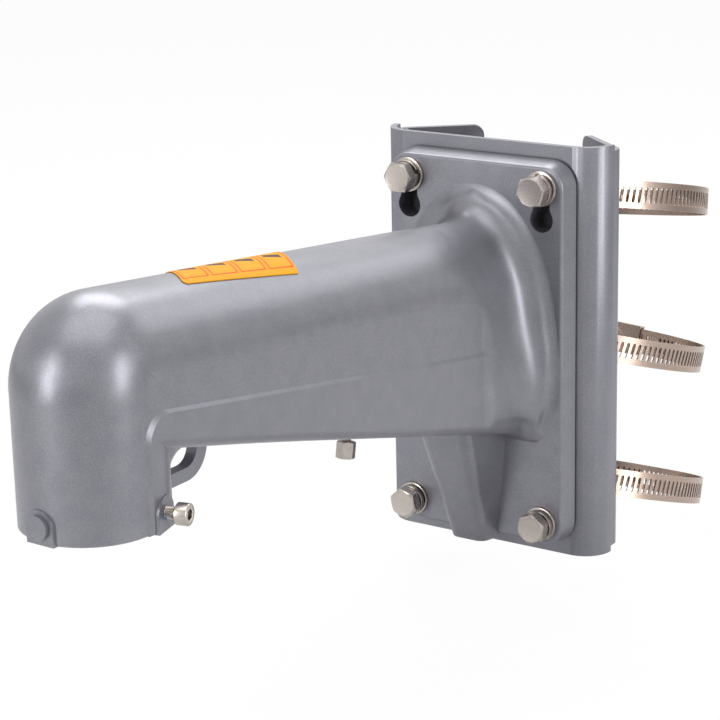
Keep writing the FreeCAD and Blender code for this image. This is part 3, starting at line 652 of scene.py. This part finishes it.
# Earth terminal under the arm: a slotted hexagon screw
earthScrew = {
    "entry": (0, -162.0, -9.11),
    "lean": 10.0,
    "gap": 5.2,
    "acrossFlats": 7.5,
    "headHeight": 7.5,
    "turn": 12,
    "faceRadius": 3.55,
    "radius": 2.0,
    "length": 12.0,
    "pitch": 0.7,
    "threadDepth": 0.36,
    "slotWidth": 1.2,
    "slotDepth": 1.5,
}


def makeEarthScrew(form):
    below = Vector((0, -sine(form["lean"]), -cosine(form["lean"])))
    seat = Vector(form["entry"]) + below * form["gap"]
    mesh = bmesh.new()
    loops = hexBody(mesh, form["acrossFlats"], form["headHeight"], form["turn"], form["faceRadius"],
                    chamferBelow=True)
    cap(mesh, loops[-1], form["headHeight"])
    thread = threadLoops(mesh, form["radius"], form["pitch"], form["threadDepth"], -form["length"], -0.1,
                         runOut=0.3, steps=72)
    bridge(mesh, thread[-1], loops[0])
    cap(mesh, thread[0], -form["length"], upward=False)
    screw = finishPiece("earthScrew", mesh, facing(seat, below), boltSteel, "earth_terminal",
                        ("earth_screw",))
    cutSlot(screw, form["slotWidth"], form["slotDepth"], form["headHeight"], form["acrossFlats"])


makeEarthScrew(earthScrew)
print("screws ready")

# Worm-drive bands, drawn in their own plane, housing towards +Y and free end beyond it towards +X
band = {
    "names": ("top", "middle", "bottom"),
    "radii": (67.7, 69.0, 68.4),
    "heights": (67.86, 1.41, -68.4),
    "backShifts": (0.0, 0.0, 0.95),
    "droops": (13.5, 16.3, 18.6),
    "rolls": (4.4, -3.5, 1.0),
    "housingAngles": (112.0, 88.0, 108.0),
    "front": -38.6,
    "pivotY": -18.5365,
    "thickness": 0.8,
    "halfWidth": 6.35,
    "step": 0.55,
    "start": -9.0,
    "shift": 165.0,
    "end": 386.0,
    "tailRadius": 5.0,
    "tailSteps": 8,
    "pitch": 3.1,
    "slotLength": 7.6,
    "slotWidth": 1.6,
    "slotLean": 7.0,
    "slotsFrom": 4.0,
    "edge": 0.16,
}


def bandPlace(i, form):
    centre = form["front"] + form["thickness"] + form["radii"][i] + form["backShifts"][i]
    return (Matrix.Translation(at(0, form["pivotY"], form["heights"][i]))
            @ Matrix.Rotation(math.radians(-form["rolls"][i]), 4, "Y")
            @ Matrix.Rotation(math.radians(-form["droops"][i]), 4, "X")
            @ Matrix.Translation(at(0, centre - form["pivotY"], 0))
            @ Matrix.Rotation(math.radians(form["housingAngles"][i] - 90), 4, "Z"))


def onRing(radius, turn):
    return Vector((radius * cosine(90 - turn), radius * sine(90 - turn), 0))


# The strip winds outward by half a step twice, so that its free end lies over its first layer
def onStrip(radius, turn, depth, across, form):
    centre, r = Vector((0, 0, 0)), radius
    if form["shift"] <= turn < form["shift"] + 180:
        centre, r = onRing(-form["step"], form["shift"]), radius + form["step"]
    elif turn >= form["shift"] + 180:
        r = radius + 2 * form["step"]
    point = centre + onRing(r + depth, turn)
    return (point.x, point.y, across)


def makeBand(i, form):
    radius, half, edge = form["radii"][i], form["halfWidth"], form["edge"]
    name = form["names"][i]
    degreesPerMm = 180 / math.pi / (radius + form["step"])
    count = int((form["end"] - form["start"]) / degreesPerMm / form["pitch"])
    cell = form["pitch"] * degreesPerMm
    tail = form["tailRadius"] * degreesPerMm
    mesh = bmesh.new()
    rowsAcross = (-half, -half / 2, 0, half / 2, half)
    depths = (0.0, form["thickness"])

    def vertexAt(turn, across, depth):
        return mesh.verts.new(onStrip(radius, turn, depth, across, form))

    def column(turn, scale=1.0):
        return [[vertexAt(turn, across * scale, depth) for across in rowsAcross] for depth in depths]

    def wall(first, second):
        for a, b in zip(zip(first[0], first[1]), zip(second[0], second[1])):
            mesh.faces.new((a[0], b[0], b[1], a[1]))

    def panel(left, right, low=None, high=None):
        for side in range(2):
            for k in range(4):
                corners = [left[side][k], right[side][k], right[side][k + 1], left[side][k + 1]]
                if k == 0 and low:
                    corners.insert(1, low[side])
                if k == 3 and high:
                    corners.insert(3, high[side])
                mesh.faces.new(corners)

    columns = [column(form["start"] + cell * k) for k in range(count + 1)]
    lowMiddles, highMiddles = [], []
    lean = math.tan(math.radians(form["slotLean"]))
    slotHalf, slotRadius = form["slotLength"] / 2 - form["slotWidth"] / 2, form["slotWidth"] / 2
    roundEnd = [(slotRadius * cosine(a), slotHalf + slotRadius * sine(a)) for a in (0, 45, 90, 135, 180)]
    slot = [*roundEnd, (-slotRadius, 0), *[(-u, -v) for u, v in roundEnd], (slotRadius, 0)]
    for k in range(count):
        turn = form["start"] + cell * (k + 0.5)
        left, right = columns[k], columns[k + 1]
        low = [vertexAt(turn, -half, depth) for depth in depths]
        high = [vertexAt(turn, half, depth) for depth in depths]
        lowMiddles.append(low)
        highMiddles.append(high)
        # The strip is left whole under the worm's housing and near its free end
        if turn < form["slotsFrom"] or turn > form["end"] - 2 * tail:
            panel(left, right, low, high)
            continue
        slotVerts = [[vertexAt(turn + (u - v * lean) * degreesPerMm, v, depth) for u, v in slot]
                     for depth in depths]
        for side in range(2):
            l, r = left[side], right[side]
            border = [r[3], r[4], high[side], l[4], l[3], l[2], l[1], l[0], low[side], r[0], r[1], r[2]]
            for m in range(12):
                n = (m + 1) % 12
                mesh.faces.new((slotVerts[side][m], border[m], border[n], slotVerts[side][n]))
        for m in range(12):
            n = (m + 1) % 12
            mesh.faces.new((slotVerts[0][m], slotVerts[0][n], slotVerts[1][n], slotVerts[1][m]))
    # Rounded free end
    tailStart = form["start"] + cell * count
    previous = columns[-1]
    run = form["end"] - tailStart
    tailColumns = []
    if run > tail:
        spare = column(form["end"] - tail)
        panel(previous, spare)
        tailColumns.append(spare)
        previous = spare
        run = tail
    for k in range(form["tailSteps"]):
        reach = run * sine(90 * (k + 1) / form["tailSteps"])
        along = form["tailRadius"] * (1 - (run - reach) / run)
        shrink = half - form["tailRadius"] + math.sqrt(max(0.0, form["tailRadius"] ** 2 - along ** 2))
        spare = column(form["end"] - run + reach, shrink / half)
        panel(previous, spare)
        tailColumns.append(spare)
        previous = spare
    # Long edges
    for across, middles in ((0, lowMiddles), (4, highMiddles)):
        chain = []
        for k in range(count):
            chain.append([columns[k][side][across] for side in range(2)])
            chain.append(middles[k])
        chain.append([columns[-1][side][across] for side in range(2)])
        chain += [[spare[side][across] for side in range(2)] for spare in tailColumns]
        for a, b in zip(chain, chain[1:]):
            mesh.faces.new((a[0], b[0], b[1], a[1]))
    for end in (columns[0], previous):
        for k in range(4):
            mesh.faces.new((end[0][k], end[0][k + 1], end[1][k + 1], end[1][k]))
    finishPiece("clampBand" + name.capitalize(), mesh, bandPlace(i, form), stripSteel, "bracket",
                ("clamp_band_" + name,), ownAxes=False)


worm = {
    "radius": 3.4,
    "rise": 0.5,
    "core": 2.3,
    "halfThread": 6.2,
    "halfHousing": 7.5,
    "shaft": 2.2,
    "collarStart": 7.8,
    "collar": 3.9,
    "collarLength": 1.0,
    "head": 7.0,
    "headLength": 5.5,
    "headFace": 3.25,
    "turn": 10,
    "slotWidth": 1.2,
    "slotDepth": 1.5,
}


def makeWormScrew(i, form, ring):
    name = ring["names"][i]
    axisHeight = ring["radii"][i] + 2 * ring["step"] + ring["thickness"] + form["rise"] + form["radius"]
    place = (bandPlace(i, ring) @ Matrix.Translation(at(0, axisHeight, 0))
             @ Matrix.Rotation(math.pi / 2, 4, "Y"))
    mesh = bmesh.new()
    half, steps = form["halfThread"], 72
    thread = threadLoops(mesh, form["radius"], ring["pitch"], form["radius"] - form["core"], -half, half,
                         runOut=0.5, samples=16, steps=steps)
    back = loopOf(mesh, circle(form["shaft"], -half))
    bridge(mesh, back, thread[0])
    tip = loopOf(mesh, circle(form["shaft"], -form["halfHousing"] + 0.3))
    point = loopOf(mesh, circle(form["shaft"] - 0.3, -form["halfHousing"]))
    bridge(mesh, tip, back)
    bridge(mesh, point, tip)
    cap(mesh, point, -form["halfHousing"], upward=False)
    start, end = form["collarStart"], form["collarStart"] + form["collarLength"]
    front = lathe(mesh, [(form["shaft"], half), (form["shaft"], start), (form["collar"] - 0.15, start),
                         (form["collar"], start + 0.15), (form["collar"], end - 0.2),
                         (form["collar"] - 0.2, end)])
    bridge(mesh, thread[-1], front[0])
    hexRings = hexBody(mesh, form["head"], form["headLength"], form["turn"], form["headFace"], start=end)
    bridge(mesh, front[-1], hexRings[0])
    cap(mesh, hexRings[-1], end + form["headLength"])
    screw = finishPiece("wormScrew" + name.capitalize(), mesh, place, boltSteel, "worm_" + name,
                        ("worm_screw_" + name,))
    # The slot lies across the ring's plane, as on the solid
    cutSlot(screw, form["slotWidth"], form["slotDepth"], end + form["headLength"], form["head"])


for number in range(3):
    makeBand(number, band)
    makeWormScrew(number, worm, band)
print("bands ready")

# Pipe thread in the neck, a thin sleeve of ridges that leaves the lock screw's hole open
neckThread = {
    "centre": (0, -327.5),
    "radius": 23.84,
    "crest": 22.7,
    "wall": 0.12,
    "pitch": 2.309,
    "low": 2.6,
    "high": 23.0,
    "runOut": 1.2,
    "hole": 104.0,
    "holeHeight": 8.5,
    "holeRadius": 3.4,
    "steps": 120,
    "samples": 10,
}


def makeNeckThread(form):
    mesh = bmesh.new()
    steps = form["steps"]
    count = round((form["high"] - form["low"]) / form["pitch"] * form["samples"])
    root = form["radius"] - form["wall"]
    outer, inner = [], []
    for k in range(count + 1):
        z = form["low"] + (form["high"] - form["low"]) * k / count
        outer.append(loopOf(mesh, circle(form["radius"], z, steps)))
        points = []
        for i in range(steps):
            phase = (z / form["pitch"] - i / steps) % 1
            ridge = min(1, max(0, (abs(phase - 0.5) * 2 - 0.1) / 0.8))
            ends = min(1, (z - form["low"]) / form["runOut"], (form["high"] - z) / form["runOut"])
            r = root - (root - form["crest"]) * (1 - ridge) * max(0, ends)
            points.append((r * cosine(360 * i / steps), r * sine(360 * i / steps), z))
        inner.append(loopOf(mesh, points))

    def overHole(k, i):
        angle = 360 * (i + 0.5) / steps
        z = form["low"] + (form["high"] - form["low"]) * (k + 0.5) / count
        off = (angle + 90 - form["hole"] + 180) % 360 - 180
        return math.hypot(math.radians(off) * form["radius"], z - form["holeHeight"]) < form["holeRadius"]

    for k in range(count):
        for i in range(steps):
            if overHole(k, i):
                continue
            n = (i + 1) % steps
            mesh.faces.new((inner[k][i], inner[k][n], inner[k + 1][n], inner[k + 1][i]))
            mesh.faces.new((outer[k][n], outer[k][i], outer[k + 1][i], outer[k + 1][n]))
    pairs = {}
    for k in range(count + 1):
        for i in range(steps):
            pairs[inner[k][i]] = outer[k][i]
    for edge in [edge for edge in mesh.edges if edge.is_boundary and edge.verts[0] in pairs]:
        a, b = edge.verts
        mesh.faces.new((a, b, pairs[b], pairs[a]))
    bmesh.ops.delete(mesh, geom=[vert for vert in mesh.verts if not vert.link_faces], context="VERTS")
    x, y = form["centre"]
    finishPiece("neckPipeThread", mesh, Matrix.Translation(at(x, y, 0)), castPowderCoat, "bracket")


makeNeckThread(neckThread)

# Soft skin over the flare where the arm meets its plate. It lies on or above the CAD surface, and only its
# border dips just under it.
rootBlend = {
    "axisHeight": 20.0,
    "plateFace": -56.0,
    "armStart": -98.0,
    "lowAngle": -63.0,
    "angleSteps": 240,
    "rows": 72,
    "rayRadius": 120.0,
    "rayFront": -160.0,
    "rayTravel": -150.0,
    "widestFoot": 72.0,
    "footStep": 0.5,
    "footRise": 0.4,
    "sideMargin": 10.0,
    "topMargin": 13.0,
    "topNarrowness": 8,
    "keyholeReach": 49.5,
    "keyholeAngle": 38.0,  # from the top to each side
    "keyholeHalfAngle": 6.5,
    "keyholeRelease": 1.2,  # mm of reach for each degree beyond it
    "footWindows": (24, 12),
    "armWindow": 6,
    "fadeShare": 0.2,  # of the way between arm and plate, at both ends
    "fadeAngle": 9.0,
    "spread": 260,
    "polish": 240,
    "liftGrowth": 7,
    "liftPolish": 120,
    "leastLift": 0.3,
    "cover": 0.03,
    "sunk": 0.1,
    "depth": 1.0,
}


def soften(grid, passes, ceiling=None):
    for _ in range(passes):
        wide = np.pad(grid, 1, mode="reflect", reflect_type="odd")
        wide = (wide[:-2] + 2 * wide[1:-1] + wide[2:]) / 4
        grid = (wide[:, :-2] + 2 * wide[:, 1:-1] + wide[:, 2:]) / 4
        if ceiling is not None:
            grid = np.minimum(grid, ceiling)
    return grid


def averaged(values, half):
    window = np.ones(half * 2 + 1) / (half * 2 + 1)
    return np.convolve(np.pad(values, half, mode="edge"), window, mode="valid")


def makeRootBlend(form):
    casting = nodes["arm_casting"]
    surface = BVHTree.FromPolygons([casting.matrix_world @ vert.co / mm for vert in casting.data.vertices],
                                   [tuple(face.vertices) for face in casting.data.polygons])
    angles = np.linspace(form["lowAngle"], 180 - form["lowAngle"], form["angleSteps"] + 1)
    diagonal = math.sqrt(0.5)

    def pointAt(angle, radius, y):
        return Vector((radius * cosine(angle), y, form["axisHeight"] + radius * sine(angle)))

    # The grid's own axes lie at 45 degrees, so that it looks square into the corner of arm and plate
    def gridPoint(angle, along, travel):
        return pointAt(angle, (along - travel) * diagonal, (along + travel) * diagonal)

    # Where the grid starts on the arm and where it ends on the plate, for each angle
    armRadius, foot = [], []
    for angle in angles:
        origin = pointAt(angle, form["rayRadius"], form["armStart"])
        hit = surface.ray_cast(origin, Vector((-cosine(angle), 0, -sine(angle))))[0]
        armRadius.append(form["rayRadius"] - (hit - origin).length)
        reach = form["widestFoot"]
        while True:
            hit = surface.ray_cast(pointAt(angle, reach, form["rayFront"]), Vector((0, 1, 0)))[0]
            if hit and hit.y < form["plateFace"] - form["footRise"]:
                break
            reach -= form["footStep"]
        top = max(0.0, sine(angle)) ** form["topNarrowness"]
        foot.append(reach + form["sideMargin"] + (form["topMargin"] - form["sideMargin"]) * top)
    fromKeyhole = np.abs(np.abs(angles - 90) - form["keyholeAngle"]) - form["keyholeHalfAngle"]
    limit = form["keyholeReach"] + form["keyholeRelease"] * np.maximum(0, fromKeyhole)
    for half in form["footWindows"]:
        foot = averaged(np.minimum(foot, limit), half)
    armRadius = averaged(armRadius, form["armWindow"])

    shares = np.linspace(0, 1, form["rows"] + 1)
    start = (armRadius + form["armStart"]) * diagonal
    end = (foot + form["plateFace"]) * diagonal
    along = start[:, None] + (end - start)[:, None] * shares[None, :]
    cad = np.zeros_like(along)
    for i, angle in enumerate(angles):
        heading = Vector((-cosine(angle), 1, -sine(angle))) * diagonal
        for j in range(len(shares)):
            origin = gridPoint(angle, along[i, j], form["rayTravel"])
            cad[i, j] = form["rayTravel"] + (surface.ray_cast(origin, heading)[0] - origin).length
    fade = np.minimum(np.minimum(shares, 1 - shares)[None, :] / form["fadeShare"],
                      np.minimum(angles - angles[0], angles[-1] - angles)[:, None] / form["fadeAngle"])
    fade = np.clip(fade, 0, 1)
    fade = fade * fade * (3 - 2 * fade)

    # The corner is filled from below, polished, and then lifted until it clears the CAD surface
    smooth = soften(soften(cad, form["spread"], cad), form["polish"])
    lack = np.maximum(0, smooth - cad + form["cover"])
    for _ in range(form["liftGrowth"]):
        wide = np.pad(lack, 1, mode="edge")
        lack = np.maximum.reduce([lack, wide[:-2, 1:-1], wide[2:, 1:-1], wide[1:-1, :-2], wide[1:-1, 2:]])
    lift = soften(lack, form["liftPolish"])
    lift = lift * np.max((smooth - cad + form["cover"]) / np.maximum(lift, form["leastLift"]))
    outer = cad + fade * (smooth - lift - cad) + form["sunk"] * (1 - fade) ** 2

    mesh = bmesh.new()
    layers = []
    for travel in (outer, np.maximum(cad, outer) + form["depth"]):
        layers.append([loopOf(mesh, [gridPoint(angle, along[i, j], travel[i, j]) for j in range(len(shares))])
                       for i, angle in enumerate(angles)])
    rings = []
    for layer in layers:
        for row, nextRow in zip(layer, layer[1:]):
            for j in range(len(shares) - 1):
                mesh.faces.new((row[j], nextRow[j], nextRow[j + 1], row[j + 1]))
        rings.append([row[0] for row in layer] + layer[-1][1:] + [row[-1] for row in layer[-2::-1]]
                     + layer[0][-2:0:-1])
    bridge(mesh, *rings)
    finishPiece("armRootBlend", mesh, Matrix(), castPowderCoat, "bracket", sharpAngle=60)
    print("root blend ready")


makeRootBlend(rootBlend)

# Rounded inner corner between the neck and the arm's underside
cornerFillet = {
    "neckCentre": -327.5,
    "neckRadius": 28.0,
    "radius": 11.5,
    "fullWidth": 14.0,
    "halfWidth": 27.0,
    "widthShare": 0.995,  # short of the full width, where the radius would be nothing
    "slope": -0.2585,
    "undersideAt": (-300.0, 26.7),
    "edgeStart": 23.3,
    "edgeRadius": 5.5,
    "steps": 14,
    "sections": 36,
    "sink": 1.2,
}


def makeCornerFillet(form):
    mesh = bmesh.new()
    lean = math.sqrt(1 + form["slope"] ** 2)
    last = 90 + math.degrees(math.atan(form["slope"]))
    loops = []
    for i in range(-form["sections"], form["sections"] + 1):
        x = form["halfWidth"] * form["widthShare"] * sine(90 * i / form["sections"])
        over = max(0.0, abs(x) - form["fullWidth"]) / (form["halfWidth"] - form["fullWidth"])
        radius = form["radius"] * math.sqrt(max(0.0, 1 - over * over))
        beyond = max(0.0, abs(x) - form["edgeStart"])
        rise = form["edgeRadius"] - math.sqrt(form["edgeRadius"] ** 2 - beyond ** 2)
        wall = form["neckCentre"] + math.sqrt(form["neckRadius"] ** 2 - x * x)
        y = wall + radius
        z = form["undersideAt"][1] + form["slope"] * (y - form["undersideAt"][0]) + rise - radius * lean
        points = [(x, y + radius * cosine(angle), z + radius * sine(angle))
                  for angle in (180 + (last - 180) * k / form["steps"] for k in range(form["steps"] + 1))]
        back = wall - form["sink"]
        points = [(x, back, points[0][2])] + points
        points += [(x, points[-1][1], points[-1][2] + form["sink"]),
                   (x, back, points[-1][2] + form["sink"] * 2)]
        loops.append(loopOf(mesh, points))
    for lower, upper in zip(loops, loops[1:]):
        bridge(mesh, lower, upper)
    mesh.faces.new(loops[0])
    mesh.faces.new(loops[-1])
    finishPiece("armInnerCorner", mesh, Matrix(), castPowderCoat, "bracket", sharpAngle=60)
    print("inner corner ready")


makeCornerFillet(cornerFillet)

# CAD pieces that stay as they are, with softened sheared edges where the real ones are worn or painted over
kept = {
    "arm_casting": (castPowderCoat, 0),
    "pole_adapter": (sheetPowderCoat, 0.35),
    # The gasket gets the black sheet: painted shade for the gap and the keyholes
    "plate_gasket": (gapShadeBlack, 0),
    "amber_label": (labelFilm, 0),
    "clamp_housing_top": (stripSteel, 0.25),
    "clamp_housing_middle": (stripSteel, 0.25),
    "clamp_housing_bottom": (stripSteel, 0.25),
}
for name, (material, softening) in kept.items():
    node = nodes[name]
    node.data.materials.clear()
    node.data.materials.append(material)
    if softening:
        weld = node.modifiers.new("weld", "WELD")
        weld.merge_threshold = 0.002 * mm
        bevel = node.modifiers.new("softEdges", "BEVEL")
        bevel.width = softening * mm
        bevel.segments = 2
        bevel.limit_method = "ANGLE"
        bevel.angle_limit = math.radians(50)
        bevel.harden_normals = True
print("kept pieces ready")

# Floor, backdrop and soft studio light
studio = {
    "floorHeight": -118.0,
    "floorSize": 14.0,
    "floorColour": "#F2F2F2",
    "floorWhite": 0.965,  # how much of the floor that the camera sees is plain paper white
    "ambient": 0.15,
    # name, azimuth, elevation, distance, width, height and power
    "lamps": (
        ("rearTopSoftbox", 166, 34, 1.5, 0.9, 0.5, 3),
        ("elbowSoftbox", 214, 52, 1.5, 1.0, 0.7, 15),
        ("overheadSoftbox", 30, 80, 1.5, 1.6, 1.2, 12),
        ("leftSoftbox", -16, 14, 1.7, 0.42, 1.2, 14),
        ("rightSoftbox", 88, 6, 1.7, 0.42, 1.4, 16),
    ),
    "target": (0, -170, 0),
}


def makeStudio(form):
    world = bpy.data.worlds.new("studio")
    bpy.context.scene.world = world
    world.use_nodes = True
    tree = world.node_tree
    path = addNode(tree, "ShaderNodeLightPath")
    seen = path.outputs["Is Camera Ray"]
    for other in ("Is Glossy Ray", "Is Transmission Ray"):
        seen = addNode(tree, "ShaderNodeMath", {"operation": "MAXIMUM"},
                       {0: seen, 1: path.outputs[other]}).outputs[0]
    # White to the eye and in reflections, but only faint as light
    strength = addNode(tree, "ShaderNodeMapRange", {3: form["ambient"], 4: 1.0}, {0: seen})
    background = tree.nodes["Background"]
    background.inputs["Color"].default_value = (1, 1, 1, 1)
    tree.links.new(strength.outputs[0], background.inputs["Strength"])

    target = at(*form["target"])
    for name, azimuth, elevation, distance, width, height, power in form["lamps"]:
        data = bpy.data.lights.new(name, "AREA")
        data.shape = "RECTANGLE"
        data.size = width
        data.size_y = height
        data.energy = power
        light = bpy.data.objects.new(name, data)
        bpy.context.collection.objects.link(light)
        out = Vector((sine(azimuth) * cosine(elevation), -cosine(azimuth) * cosine(elevation),
                      sine(elevation)))
        light.location = target + out * distance
        light.rotation_euler = out.to_track_quat("Z", "Y").to_euler()

    data = bpy.data.meshes.new("studioFloor")
    reach = form["floorSize"] / 2
    data.from_pydata([(x * reach, y * reach, form["floorHeight"] * mm)
                      for x, y in ((-1, -1), (1, -1), (1, 1), (-1, 1))], [], [(0, 1, 2, 3)])
    floor = bpy.data.objects.new("studioFloor", data)
    bpy.context.collection.objects.link(floor)
    # Matt white paper that still takes soft shadows
    material, tree, shader = newMaterial("whitePaperFloor",
                                         {"Roughness": 0.9, "Base Color": fromHex(form["floorColour"])})
    path = addNode(tree, "ShaderNodeLightPath")
    white = addNode(tree, "ShaderNodeEmission", {"Strength": 1.0})
    share = addNode(tree, "ShaderNodeMapRange", {4: form["floorWhite"]}, {0: path.outputs["Is Camera Ray"]})
    surface = addNode(tree, "ShaderNodeMixShader", None,
                      {0: share.outputs[0], 1: shader.outputs[0], 2: white.outputs[0]})
    tree.links.new(surface.outputs[0], tree.nodes["Material Output"].inputs["Surface"])
    data.materials.append(material)


makeStudio(studio)
bpy.context.scene.view_settings.view_transform = "Standard"
print("studio ready")
